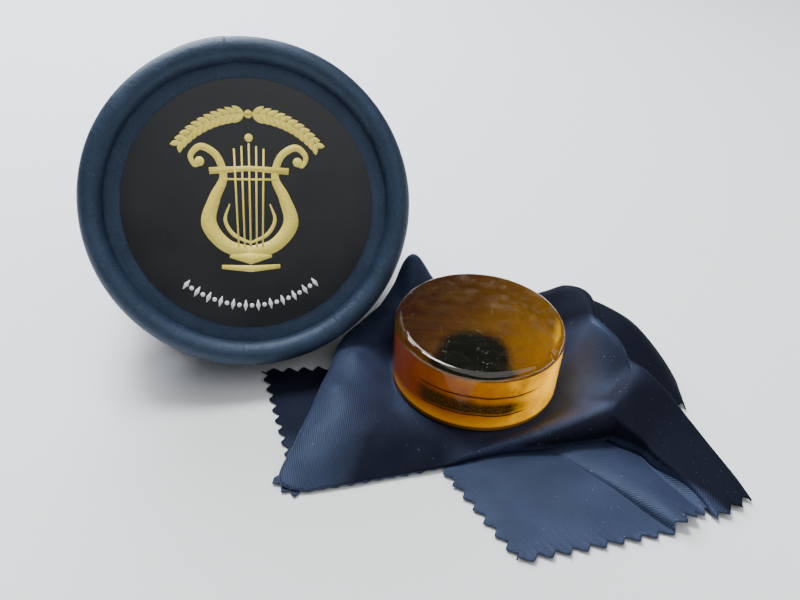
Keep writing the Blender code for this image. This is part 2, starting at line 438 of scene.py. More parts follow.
disc_shape = disc_outline(INNER, FACE - 1.75, FACE - 0.45, 0.2)
disc = add_piece(
    "lid_end_disc", grid_mesh("lid_end_disc", turned(disc_shape, LID_PLACE), False, True), "lid", BOARD,
)
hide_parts("lid_disc")
facing = add_piece(
    "lid_facing_paper",
    grid_mesh("lid_facing_paper",
              turned(disc_outline(INNER, FACE - 0.33, FACE, 0.1), LID_PLACE, 360, face_swell), False, True),
    "lid", NAVY_PAPER,
)
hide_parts("lid_facing")

# ---------------------------------------------------------------------------------------------
# The lid's label: a round black satin sticker. Its print is plain: a gold lyre in the middle, a
# pair of gold laurel sprays curved over it, and a white row of lozenges and beads under it.

LABEL_RADIUS = 27.4
LABEL_TOP = FACE + 0.30
PRINT_TURN = math.radians(-6.5)


def label_finish():
    """Black printed sticker: even ink under a satin varnish, with a little dust and faint rubs."""
    label = Finish("black_label")
    place = label.node("ShaderNodeTexCoord")["Object"]
    dust = label.noise(place, 1900.0, 2.0, 0.7).above(0.69, 0.76)
    cloud = label.noise(place, 90.0, 3.0)
    ink = label.mix(cloud.above(0.35, 0.7), (0.0042, 0.0050, 0.0060), (0.0085, 0.0100, 0.0120))
    base = label.mix(dust * 0.16, ink, (0.16, 0.17, 0.19))
    peel = label.noise(place, 700.0, 2.0)
    return label.set(
        Base_Color=base, Roughness=0.36 + (cloud - 0.5) * 0.12 + dust * 0.2,
        Normal=label.bump(peel, 0.00003, 0.6), Specular_IOR_Level=0.5,
    )


label = add_piece(
    "lid_label_sticker",
    grid_mesh("lid_label_sticker",
              turned(disc_outline(LABEL_RADIUS, FACE + 0.12, LABEL_TOP, 0.07), LID_PLACE, 300), False, True),
    "lid", label_finish(),
)
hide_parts("lid_label")


def print_finish(name, colour):
    """Printed ink on the sticker: slightly uneven cover and the varnish's satin gloss."""
    ink = Finish(name)
    place = ink.node("ShaderNodeTexCoord")["Object"]
    cover = ink.noise(place, 2400.0, 2.0).above(0.25, 0.6)
    worn = tuple(0.80 * part for part in colour)
    return ink.set(Base_Color=ink.mix(cover, worn, colour), Roughness=0.42)


def smooth_path(corners, steps=14):
    """A smooth curve through a few points: between each two, the cubic that keeps the direction
    from the point before to the point after."""
    corners = np.asarray(corners, float)
    padded = np.vstack((2 * corners[0] - corners[1], corners, 2 * corners[-1] - corners[-2]))
    t = np.linspace(0, 1, steps, endpoint=False)[:, None]
    parts = []
    for a, b, c, d in zip(padded, padded[1:], padded[2:], padded[3:]):
        parts.append(0.5 * (2 * b + (c - a) * t + (2 * a - 5 * b + 4 * c - d) * t**2
                            + (3 * b - a - 3 * c + d) * t**3))
    return np.vstack(parts + [corners[-1:]])


def stroke(path, widths):
    """A flat ribbon along a path in the label's plane, with its width changing from end to end."""
    path = np.asarray(path, float)
    ahead = np.gradient(path, axis=0)
    ahead /= np.linalg.norm(ahead, axis=1)[:, None] + 1e-9
    side = np.stack((-ahead[:, 1], ahead[:, 0]), -1)
    spread = np.interp(np.linspace(0, 1, len(path)), np.linspace(0, 1, len(widths)), widths)[:, None] / 2
    return np.stack((path - side * spread, path, path + side * spread), 1)


def leaf(root, heading, length, width):
    """A pointed leaf: a ribbon whose width swells and closes again along its length."""
    t = np.linspace(0, 1, 9)
    lean = np.array((math.cos(heading), math.sin(heading)))
    path = np.asarray(root) + t[:, None] * length * lean
    return stroke(path, width * np.sin(np.pi * np.clip(t, 0.02, 0.98)) ** 0.8)


def dot(centre, radius):
    """A round spot as a ribbon across it."""
    t = np.linspace(-1, 1, 13)
    path = np.asarray(centre) + np.stack((t * radius, 0 * t), -1)
    return stroke(path, 2 * radius * np.sqrt(np.clip(1 - t**2, 0.002, 1)))


def printed(name, ribbons, finish):
    """Lay flat ribbons on the label, each a hair above the last, and give them an ink's thickness."""
    axes, origin = LID_PLACE
    across = math.cos(PRINT_TURN) * axes[0] + math.sin(PRINT_TURN) * axes[1]
    up = math.cos(PRINT_TURN) * axes[1] - math.sin(PRINT_TURN) * axes[0]
    points = []
    faces = []
    start = 0
    for layer, ribbon in enumerate(ribbons):
        rows, columns = ribbon.shape[:2]
        flat = ribbon.reshape(-1, 2)
        height = LABEL_TOP + 0.02 + 0.0006 * (layer % 9)
        points.append(origin + flat[:, :1] * across + flat[:, 1:] * up + height * axes[2])
        index = start + np.arange(rows * columns).reshape(rows, columns)
        quads = np.stack((index[:-1, :-1], index[:-1, 1:], index[1:, 1:], index[1:, :-1]), -1)
        faces.append(quads.reshape(-1, 4))
        start += rows * columns
    mesh = bpy.data.meshes.new(name)
    mesh.from_pydata(np.vstack(points) * MM, [], np.vstack(faces))
    piece = add_piece(name, mesh, "lid", finish)
    film = piece.modifiers.new("ink_film", "SOLIDIFY")
    film.thickness = 0.03 * MM
    film.offset = 1.0
    return piece


def mirrored(ribbon):
    """The same ribbon on the other side of the label's upright line."""
    return ribbon[:, ::-1] * np.array((-1.0, 1.0))


def lyre():
    """A lyre: two bowed arms that curl out at the top, a yoke, five strings and a foot."""
    arm = smooth_path([(0.6, -10.6), (-5.2, -9.0), (-8.9, -4.2), (-7.6, 1.4), (-5.6, 6.0),
                       (-6.9, 10.6), (-10.2, 12.6), (-12.4, 10.7), (-11.6, 8.6), (-10.2, 9.2)])
    arm_ribbon = stroke(arm, [2.6, 3.0, 3.4, 2.5, 1.7, 1.6, 1.5, 1.2, 0.9, 0.7])
    heart = stroke(smooth_path([(0.0, -8.4), (-3.6, -6.6), (-5.4, -3.4), (-4.4, 0.2)]), [0.5, 0.9, 0.8, 0.3])
    curl_ends = [dot((-10.6, 9.4), 1.05), dot((10.6, 9.4), 1.05)]
    ribbons = [arm_ribbon, mirrored(arm_ribbon), heart, mirrored(heart), *curl_ends]
    ribbons.append(stroke([(-8.6, 7.4), (0.0, 8.0), (8.6, 7.4)], [1.5, 1.1, 1.5]))
    ribbons.append(stroke([(-6.2, 5.6), (6.2, 5.6)], [0.45, 0.45]))
    for place in (-3.2, -1.6, 0.0, 1.6, 3.2):
        ribbons.append(stroke([(place, 13.4 - 0.35 * abs(place)), (0.82 * place, -9.4)], [0.42, 0.42]))
    ribbons.append(stroke([(-4.6, -11.4), (0.0, -11.9), (4.6, -11.4)], [0.6, 2.6, 0.6]))
    ribbons.append(stroke([(-6.4, -13.7), (0.0, -14.2), (6.4, -13.7)], [0.9, 1.5, 0.9]))
    ribbons.append(dot((0.0, 14.6), 0.9))
    return ribbons


def laurel(radius, half_span, pairs):
    """A sprig curved over the emblem: a thin stem with leaves that lie along it on both sides,
    pointing outwards from its middle."""
    turn = np.linspace(-half_span, half_span, 60)
    stem = radius * np.stack((np.sin(turn), np.cos(turn)), -1)
    ribbons = [stroke(stem, [0.2, 0.5, 0.2])]
    for side in (-1, 1):
        for step in range(pairs):
            turn = side * half_span * (step + 0.55) / pairs
            root = radius * np.array((math.sin(turn), math.cos(turn)))
            heading = math.pi / 2 - turn - side * math.pi / 2
            size = 3.1 - 0.9 * step / pairs
            ribbons.append(leaf(root, heading + side * 0.62, size, 1.25))
            ribbons.append(leaf(root, heading - side * 0.62, size, 1.25))
    ribbons.append(dot((0.0, radius), 0.9))
    return ribbons


def beads(radius, half_span, count):
    """A white border curved under the emblem: tall lozenges and round beads by turns."""
    ribbons = []
    for step in range(count):
        turn = math.pi + half_span * (2 * step / (count - 1) - 1)
        centre = radius * np.array((math.sin(turn), math.cos(turn)))
        if step % 2 == 0:
            reach = np.array((math.sin(turn), math.cos(turn))) * 1.25
            ribbons.append(stroke([centre - reach, centre, centre + reach], [0.12, 1.0, 0.12]))
        else:
            ribbons.append(dot(centre, 0.50))
    return ribbons


GOLD = print_finish("gold_print", (1.0, 0.80, 0.13))
WHITE = print_finish("white_print", (0.92, 0.93, 0.94))
printed("lid_print_lyre", lyre(), GOLD)
printed("lid_print_laurel", laurel(19.7, math.radians(49), 11), GOLD)
printed("lid_print_beads", beads(22.5, math.radians(39), 23), WHITE)

# ---------------------------------------------------------------------------------------------
# The tub: the same rolled tube the other way up, with its base disc and facing. It stands upright
# behind the lid, which leans on the front of its neck.

TUB_HEIGHT = 26.0
NECK_TOP = 39.0
NECK_WALL = 1.3
neck_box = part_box("tub_neck")
TUB_CENTRE = np.array(((neck_box[0].x + neck_box[1].x) / 2, (neck_box[0].y + neck_box[1].y) / 2, 0.0)) / MM


def upside_down(profile):
    """The same outline with its rim at the bottom."""
    return np.stack((profile[:, 0], TUB_HEIGHT - profile[:, 1]), -1)[::-1]


def tub_swell(profile, angle):
    """The tub's paper departs from round as the lid's does, the other way up."""
    flipped = np.stack((profile[:, 0], TUB_HEIGHT - profile[:, 1]), -1)
    more_radius, more_height = paper_swell(TUB_HEIGHT, math.radians(250))(flipped, angle)
    return more_radius, np.clip(-more_height, 0.0, None)


TUB_PLACE = (np.stack(((math.cos(LID_TURN), math.sin(LID_TURN), 0.0),
                       (-math.sin(LID_TURN), math.cos(LID_TURN), 0.0), (0.0, 0.0, 1.0))), TUB_CENTRE)
TUB_PIECES = (
    ("tub_board_tube", tube_core(TUB_HEIGHT, LID_RADIUS), None, BOARD, "tub_core", "grey_board"),
    ("tub_covering_paper", tube_wrap(TUB_HEIGHT, LID_RADIUS), tub_swell, NAVY_PAPER, "tub_wrap",
     "navy_paper"),
)
for name, outline, swell, finish, node, slot in TUB_PIECES:
    steps = 240 if swell is None else 600
    surface = turned(upside_down(outline), TUB_PLACE, steps, swell)
    piece = add_piece(name, grid_mesh(name, surface, True, True), "tub", finish)
    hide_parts(node)

BASE_FACE = FACE_DEPTH
for name, low, high, finish, node, slot in (
    ("tub_end_disc", BASE_FACE + 0.45, BASE_FACE + 1.75, BOARD, "tub_base_disc", "grey_board"),
    ("tub_facing_paper", BASE_FACE, BASE_FACE + 0.33, NAVY_PAPER, "tub_base_facing", "navy_paper"),
):
    surface = turned(disc_outline(INNER, low, high, 0.1), TUB_PLACE)
    piece = add_piece(name, grid_mesh(name, surface, False, True), "tub", finish)
    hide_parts(node)

# ---------------------------------------------------------------------------------------------
# The tub's neck: a thinner board tube covered in plain black paper, glued inside the tub. The lid
# slides over the part that stands proud. Its upper edge is worn pale where the lid rubs it.


def neck_finish():
    """Black-papered board: fine grain, and the board showing through along the worn top edge."""
    neck = Finish("neck_paper")
    where = neck.node("ShaderNodeTexCoord")["Object"]
    fine = neck.noise(where, 2600.0, 3.0, 0.6)
    level = neck.node("ShaderNodeSeparateXYZ", None, {"Vector": where})["Z"]
    wander = (neck.noise(where, 600.0, 3.0) - 0.5) * 0.0012
    edge = (level + wander).above((NECK_TOP - 0.35) * MM, NECK_TOP * MM)
    base = neck.mix(fine.above(0.3, 0.7), (0.010, 0.010, 0.011), (0.022, 0.022, 0.024))
    base = neck.mix(edge * 0.8, base, (0.20, 0.18, 0.15))
    return neck.set(Base_Color=base, Roughness=0.55 + edge * 0.3, Normal=neck.bump(fine, 0.00006, 0.7))


neck_low = BASE_FACE + 2.05
neck_outline = rounded([(INNER, NECK_TOP), (INNER, neck_low), (INNER - NECK_WALL, neck_low),
                        (INNER - NECK_WALL, NECK_TOP)], 0.35)
neck = add_piece(
    "tub_neck_tube",
    grid_mesh("tub_neck_tube", turned(refined(neck_outline, 3.0), TUB_PLACE, 300), True, True),
    "tub", neck_finish(),
)
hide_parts("tub_neck")

# ---------------------------------------------------------------------------------------------
# The cloth: one square of navy cotton twill, cut with pinking shears so that it needs no hem, then
# folded and bunched by hand under and round the cake. It holds its folds by its own stiffness.


def past_line(place, through, facing):
    """How far a place lies past a line in plan, in metres: the line goes through a point and faces
    the given way."""
    return (place["X"] - through[0]) * facing[0] + (place["Y"] - through[1]) * facing[1]


def deep_shade(place, unevenness):
    """Painted shade: where the twill is painted almost black, as if turned from the light: the front of
    the main sheet past its left fold, the strip, all behind the right-hand fold, the front of the roll,
    and the flap in the lid's shadow. Each is a soft step past a line in plan or past a height, in metres."""
    strip_top = (0.0269, -0.0175)
    past_fold = past_line(place, (-0.041, -0.031), (0.949, -0.317)) + unevenness
    front = past_fold.above(0.006, 0.014) * (1.0 - place["Y"].above(-0.022, -0.007))
    front = front * place["Z"].above(0.0009, 0.0012) * (1.0 - place["X"].above(-0.009, 0.013))
    strip = past_line(place, strip_top, (0.784, 0.62)).above(0.0004, 0.0030)
    strip = strip * past_line(place, strip_top, (0.62, -0.784)).above(-0.013, 0.001)
    behind = past_line(place, (0.0262, 0.0028), (0.696, 0.718)).above(0.0008, 0.0030)
    roll = past_line(place, (0.0, -0.0234), (0.295, -1.0)).above(0.0010, 0.0028)
    roll = roll * place["Z"].above(0.0024, 0.0036)
    # Painted shadow of the lid on the flap.
    lid_shadow_on_flap = (1.0 - place["X"].above(-0.034, -0.030)) * place["Y"].above(-0.027, -0.016)
    lid_shadow_on_flap = lid_shadow_on_flap * (1.0 - place["Z"].above(0.0012, 0.0018)) * 0.85
    return (front + strip + behind + roll + lid_shadow_on_flap).above(0.0, 1.0)


def twill_finish():
    """Cotton twill: raised diagonal ribs 0.47 mm apart crossed by fine threads, uneven dye, a few
    short white lint specks, and painted deep shade on the faces turned from the light."""
    twill = Finish("navy_twill")
    weave = twill.node("ShaderNodeUVMap", {"uv_map": "cloth"})["UV"]
    where = twill.node("ShaderNodeTexCoord")["Object"]
    across = twill.node("ShaderNodeSeparateXYZ", None, {"Vector": weave})
    jitter = (twill.noise(weave, 1100.0, 2.0) - 0.5) * 1.6
    rib_phase = (across["X"] * 0.94 + across["Y"] * 1.06) * (2 * math.pi / 0.00066) + jitter
    rib = rib_phase.maths("SINE") * 0.5 + 0.5
    thread_phase = (across["X"] * 1.06 - across["Y"] * 0.94) * (2 * math.pi / 0.00043)
    thread = thread_phase.maths("SINE") * 0.5 + 0.5
    fuzz = twill.noise(weave, 3200.0, 2.0, 0.6)
    broad = twill.noise(where, 120.0, 3.0)
    height = rib * 0.62 + thread * 0.16 + fuzz * 0.35
    tone = (rib * 0.26 + fuzz * 0.42 + broad * 0.32).above(0.30, 0.72)
    # Painted shade: the mask that darkens the twill's faces turned from the light.
    shade = deep_shade(twill.node("ShaderNodeSeparateXYZ", None, {"Vector": where}), (broad - 0.5) * 0.004)
    sockets = {"Vector": where, "Rotation": (0.4, 0.2, 0.9), "Scale": (0.35, 1.0, 1.0)}
    lint_place = twill.node("ShaderNodeMapping", {"vector_type": "TEXTURE"}, sockets)[0]
    lint = twill.noise(lint_place, 1250.0, 1.0, 0.4).above(0.765, 0.80)
    base = twill.mix(tone, (0.0090, 0.0110, 0.0240), (0.0330, 0.0450, 0.0960))
    base = twill.mix(lint * 0.45, base, (0.30, 0.34, 0.42))
    twill.set(
        Base_Color=base, Roughness=0.56 + (fuzz - 0.5) * 0.16, Normal=twill.bump(height, 0.00006, 0.9),
        Sheen_Weight=0.05, Sheen_Roughness=0.55, Sheen_Tint=(0.52, 0.64, 1.0), Specular_IOR_Level=0.42,
        Specular_Tint=(0.50, 0.68, 1.0),
    )
    # Painted shade: a near-black matt coat laid over the twill as far as the shade mask reaches.
    return twill.matt_dust_and_shade(shade * (0.88 - lint * 0.5), (0.0040, 0.0036, 0.0074))


def soft_heights(knots, ease=0.0):
    """Heights of a soft sheet: the surface that passes through the given (x, y, height) knots and
    bends least, a tilted plane plus r squared times log r about each knot. ease lets it miss them
    slightly."""
    knots = np.asarray(knots, float)[:, :3]

    def kernel(here, there):
        gap = ((here[:, None] - there[None]) ** 2).sum(-1)
        return gap * np.log(gap + 1e-9)

    count = len(knots)
    plane = np.hstack((np.ones((count, 1)), knots[:, :2]))
    system = np.block([[kernel(knots[:, :2], knots[:, :2]) + ease * np.eye(count), plane],
                       [plane.T, np.zeros((3, 3))]])
    weights = np.linalg.solve(system, np.concatenate((knots[:, 2], np.zeros(3))))

    def height(place):
        flat = place.reshape(-1, 2)
        value = kernel(flat, knots[:, :2]) @ weights[:count]
        value = value + np.hstack((np.ones((len(flat), 1)), flat)) @ weights[count:]
        return value.reshape(place.shape[:-1])

    return height


def even_path(keys, count, closed=False, steps=24):
    """A smooth curve through keys of any number of values, cut at equal steps of its length in x
    and y."""
    keys = np.asarray(keys, float)
    if closed:
        looped = np.vstack((keys[-2:], keys, keys[:3]))
        dense = smooth_path(looped, steps)[2 * steps:-2 * steps]
    else:
        dense = smooth_path(keys, steps)
    run = np.concatenate(([0.0], np.cumsum(np.linalg.norm(np.diff(dense[:, :2], axis=0), axis=1))))
    want = np.linspace(0, run[-1], count, endpoint=not closed)
    return np.stack([np.interp(want, run, dense[:, k]) for k in range(dense.shape[1])], -1)


def outward(path, closed=False):
    """The directions square to a path in plan, on its right-hand side."""
    if closed:
        ahead = np.roll(path, -1, 0) - np.roll(path, 1, 0)
    else:
        ahead = np.gradient(path, axis=0)
    ahead = ahead / (np.linalg.norm(ahead, axis=1)[:, None] + 1e-9)
    return np.stack((ahead[:, 1], -ahead[:, 0]), -1)


def curl(edge, normal, height, radius, turn, tail, floor, arc_rows=13, tail_rows=6):
    """The rows of cloth past a folded edge: an arc that starts along the sheet's own slope and
    rolls over by the given turn in degrees, then a straight tail. Both stop at the floor."""
    back = 0.25
    rise = height(edge)
    slope = np.arctan((rise - height(edge - back * normal)) / back)
    turn = np.radians(turn)
    room = (rise - floor) / np.maximum(np.cos(slope) - np.cos(turn), 0.05)
    radius = np.clip(np.minimum(radius, room), 0.12, None)
    rows = []
    for share in np.linspace(0, 1, arc_rows + 1)[1:]:
        angle = -slope + (turn + slope) * share
        reach = radius * (np.sin(angle) + np.sin(slope))
        fall = radius * (np.cos(angle) - np.cos(slope))
        rows.append(np.column_stack((edge + normal * reach[:, None], rise + fall)))
    last = rows[-1]
    drop = np.sin(turn)
    length = np.where(drop > 0.1, np.minimum(tail, (last[:, 2] - floor) / np.maximum(drop, 0.1)), tail)
    length = np.clip(length, 0.02, None)
    for share in np.linspace(0, 1, tail_rows + 1)[1:]:
        step = share * length
        reach = np.cos(turn) * step
        rows.append(np.column_stack((last[:, :2] + normal * reach[:, None], last[:, 2] - drop * step)))
    return np.stack(rows)


PITCH = 3.5
TOOTH = PITCH / 2


def zigzag(run, pitch=PITCH):
    """The pinked line: a zigzag along the cloth's edge, from -0.5 to 0.5."""
    return 2 * np.abs(np.mod(run / pitch, 1.0) - 0.5) - 0.5


def bed_height(place):
    """The plane that the cake lies on: it falls to the right by the cake's lean of 3 degrees."""
    return 2.6 - place[..., 0] * math.tan(math.radians(3.0))


def walked(points, axis):
    """Distance along a grid's rows or columns, from its first one."""
    step = np.linalg.norm(np.diff(points, axis=axis), axis=-1)
    shape = list(points.shape[:-1])
    shape[axis] = 1
    return np.concatenate((np.zeros(shape), np.cumsum(step, axis=axis)), axis)


# Round the main sheet's folded outline: x, y, height, then the fold's radius, its turn in degrees and
# the length of cloth past it.
MAIN_OUTLINE = np.array((
    (-41.0, -30.2, 2.2, 0.9, 180, 2.0), (-39.2, -32.3, 1.7, 0.6, 180, 2.0),
    (-36.0, -32.7, 1.3, 0.4, 180, 2.5), (-31.0, -31.8, 1.2, 0.4, 180, 3.0),
    (-26.0, -30.8, 1.2, 0.4, 180, 3.0), (-21.0, -29.6, 1.2, 0.4, 180, 3.0),
    (-16.0, -28.5, 1.2, 0.4, 180, 3.0), (-7.8, -26.5, 1.5, 0.5, 180, 3.0),
    (-2.5, -24.4, 2.4, 0.8, 180, 3.0), (4.0, -21.9, 3.4, 1.3, 150, 3.0),
    (9.0, -20.6, 4.2, 1.7, 130, 3.0), (14.0, -19.0, 5.2, 2.3, 115, 4.0),
    (20.5, -17.0, 6.6, 3.0, 108, 5.0), (26.0, -15.4, 7.8, 3.4, 105, 5.0),
    (29.6, -13.3, 8.0, 2.5, 105, 5.0), (32.2, -10.9, 8.3, 1.7, 100, 4.0),
    (33.3, -8.4, 8.9, 1.1, 100, 3.0), (33.0, -5.4, 10.0, 1.0, 110, 2.0),
    (31.1, -1.8, 13.0, 1.2, 130, 2.0), (27.0, 2.9, 15.0, 1.2, 135, 2.0),
    (26.3, 9.0, 15.8, 1.3, 130, 3.0), (25.4, 14.6, 15.2, 1.8, 105, 6.0),
    (21.6, 18.4, 12.6, 2.6, 90, 8.0), (14.0, 22.4, 7.0, 2.0, 85, 5.0),
    (5.0, 24.3, 4.4, 1.5, 85, 3.0), (-4.0, 24.6, 6.0, 1.5, 85, 5.0),
    (-9.8, 24.9, 13.0, 1.1, 85, 11.0), (-13.8, 26.0, 18.4, 0.9, 85, 16.0),
    (-17.4, 23.6, 12.6, 1.1, 90, 11.0), (-21.2, 18.6, 8.6, 1.5, 110, 5.0),
    (-25.4, 12.4, 8.4, 2.3, 150, 3.5), (-28.7, 5.4, 8.8, 3.0, 176, 5.0),
    (-31.8, -4.5, 7.9, 2.9, 180, 5.0), (-35.2, -14.7, 6.2, 2.3, 180, 5.0),
    (-38.4, -24.0, 4.2, 1.6, 180, 4.0),
))
# Between the bed and the outline: the x, y and height of each rise and hollow.
MAIN_KNOTS = (
    (-31.0, -11.5, 8.8), (-27.0, -1.0, 9.6), (-34.2, -20.5, 6.3), (-37.0, -26.8, 4.2), (-20.0, -22.6, 4.4),
    (-27.5, -22.5, 5.0), (-30.8, -27.6, 3.3), (-12.0, -23.8, 3.2), (-24.0, -14.0, 5.9), (-22.0, -27.0, 2.6),
    (-21.5, -3.0, 5.8), (-17.8, -13.5, 3.4), (-21.5, 8.0, 7.2), (-19.0, 14.5, 8.4), (-14.5, 22.0, 13.0),
    (0.0, -21.2, 2.2), (21.0, -9.0, 2.4), (21.3, -3.0, 2.6), (21.2, 4.0, 3.2), (27.5, -5.0, 7.6),
    (24.5, -11.5, 5.0), (29.5, -10.5, 7.2), (24.5, 8.5, 13.2), (21.4, 11.5, 9.6), (13.5, 19.0, 4.2),
    (0.0, 22.3, 3.2), (-8.0, 21.0, 5.0), (24.0, 1.5, 8.6),
)


def main_height():
    """The main sheet's heights: the softest surface through the bed, the outline and the knots."""
    ring = np.linspace(0, 2 * np.pi, 36, endpoint=False)
    bed_points = np.vstack([radius * np.stack((np.cos(ring), np.sin(ring)), -1) for radius in (19.5, 16.0)])
    bed_knots = np.column_stack((bed_points, bed_height(bed_points)))
    return soft_heights(np.vstack((MAIN_OUTLINE[:, :3], np.array(MAIN_KNOTS), bed_knots)), 0.4)


def main_sheet():
    """The main sheet, round the cake: rays from the cake's bed to the folded outline, and round
    its fold."""
    columns = 384
    path = even_path(MAIN_OUTLINE, columns, True)
    edge = path[:, :2]
    height = main_height()
    bearing = np.arctan2(edge[:, 1], edge[:, 0])
    rim = 19.3 * np.stack((np.cos(bearing), np.sin(bearing)), -1)
    share = np.linspace(0, 1, 46)[:, None, None] ** 1.05
    flat = rim + (edge - rim) * share
    loft = np.dstack((flat, np.maximum(height(flat), bed_height(flat) * (share[..., 0] < 0.03))))
    inner = np.linspace(0.0, 0.97, 10)[:, None, None] * rim
    bed = np.dstack((inner, bed_height(inner)))
    loft[0, :, 2] = bed_height(flat[0])
    normal = outward(path[:, :2], True)
    bottom = np.full(columns, 0.75)
    past = curl(edge, normal, height, path[:, 3], path[:, 4], path[:, 5], bottom)
    points = np.concatenate((bed, loft, past))
    rumple = 0.07 * np.sin(0.55 * points[..., 0] + 1.3 * np.sin(0.4 * points[..., 1]))
    rumple = rumple + 0.05 * np.sin(0.8 * points[..., 1] - 0.7 * points[..., 0] + 1.0)
    away = np.clip((np.hypot(points[..., 0], points[..., 1]) - 20.5) / 4.0, 0, 1)
    points[..., 2] += rumple * away
    run = walked(points, 0)
    bearing = np.broadcast_to(bearing, run.shape)
    turn = 0.6
    spread = np.stack((run * np.cos(bearing + turn), run * np.sin(bearing + turn)), -1)
    return points, True, spread


def turned_under():
    """The pinked edge that shows as dark points from under the folded front edge and its tip."""
    columns = 144
    path = even_path(((-43.4, -29.9), (-41.2, -32.4), (-38.6, -33.9), (-34.0, -33.2), (-26.0, -31.5),
                      (-16.0, -29.3), (-8.5, -27.4)), columns)
    run = np.linspace(0, 40.0, columns)
    inward = -outward(path)
    width = np.linspace(0, 5.0, 12)[:, None, None]
    cut = np.clip(1.0 - width / 2.4, 0, 1)
    at_tip = run < 9.0
    amount = np.where(at_tip, 1.4, 0.4) * zigzag(run + 0.4, 3.1) + np.where(at_tip, 0.35, 0.60)
    flat = path[None] + inward[None] * (width + cut * amount[None, :, None])
    height = np.full(flat.shape[:2], 0.5) + 0.25 * np.sin(0.8 * run)[None] ** 2 * cut[..., 0]
    return np.dstack((flat, height)), False, np.dstack(np.broadcast_arrays(run[None, :], width[..., 0]))


def strip():
    """The narrow fold that falls from the bunch on the right to the front: a band between two
    guides, rolled under on its right, with the pinked end of the cloth at its foot."""
    columns = 116
    left = even_path(((24.6, -12.6, 6.0), (26.4, -17.2, 8.2), (29.8, -20.0, 6.9), (34.2, -22.8, 4.7),
                      (36.3, -26.2, 3.8), (40.9, -31.9, 2.8), (43.4, -36.6, 1.8), (44.4, -39.6, 1.1)),
                     columns)
    right = even_path(((33.0, -3.6, 10.8), (36.4, -7.0, 10.0), (40.2, -10.4, 7.6), (43.3, -13.8, 4.9),
                       (46.0, -18.8, 3.2), (48.2, -23.7, 2.3), (50.6, -30.0, 1.6), (52.0, -34.8, 1.1)),
                      columns)
    span = np.linspace(0, 1, columns)
    middle = (left + right) / 2
    middle[:, 2] += 0.25 + 0.8 * np.clip(1 - span / 0.35, 0, 1)
    height = soft_heights(np.vstack((left[::8], right[::8], middle[::8])), 0.3)
    under = main_height()
    share = np.linspace(0, 1, 34)[:, None, None]
    flat = left[None, :, :2] + (right - left)[None, :, :2] * share
    run = np.concatenate(([0.0], np.cumsum(np.linalg.norm(np.diff(left[:, :2], axis=0), axis=1))))
    shown = np.clip(run / 6.5, 0, 1)
    shown = shown**2 * (3 - 2 * shown)
    body = np.dstack((flat, height(flat) * shown + (under(flat) - 0.9) * (1 - shown)))
    down = np.full(columns, 0.85)
    radius, turn, tail = (np.full(columns, value) for value in (1.3, 168.0, 3.0))
    past_right = curl(right[:, :2], -outward(right[:, :2]), height, radius, turn, tail, down, 11, 4)
    radius, turn, tail = (np.full(columns, value) for value in (0.7, 80.0, 6.0))
    past_left = curl(left[:, :2], outward(left[:, :2]), height, radius, turn, tail, down, 6, 4)
    past_left[..., 2] -= (height(left[:, :2]) - body[0, :, 2])[None]
    past_right[..., 2] -= (height(right[:, :2]) - body[-1, :, 2])[None]
    points = np.concatenate((past_left[::-1], body, past_right))
    reach = walked(points, 0)
    ahead = np.stack((np.gradient(points[..., 0], axis=1), np.gradient(points[..., 1], axis=1)), -1)
    ahead /= np.linalg.norm(ahead, axis=-1, keepdims=True) + 1e-9
    near_end = np.clip(1.0 - (run[-1] - run) / 3.0, 0, 1)[None, :, None]
    points[..., :2] += ahead * near_end * TOOTH * zigzag(reach + 0.6)[..., None]
    return points, False, np.stack((reach, np.broadcast_to(run, reach.shape)), -1)


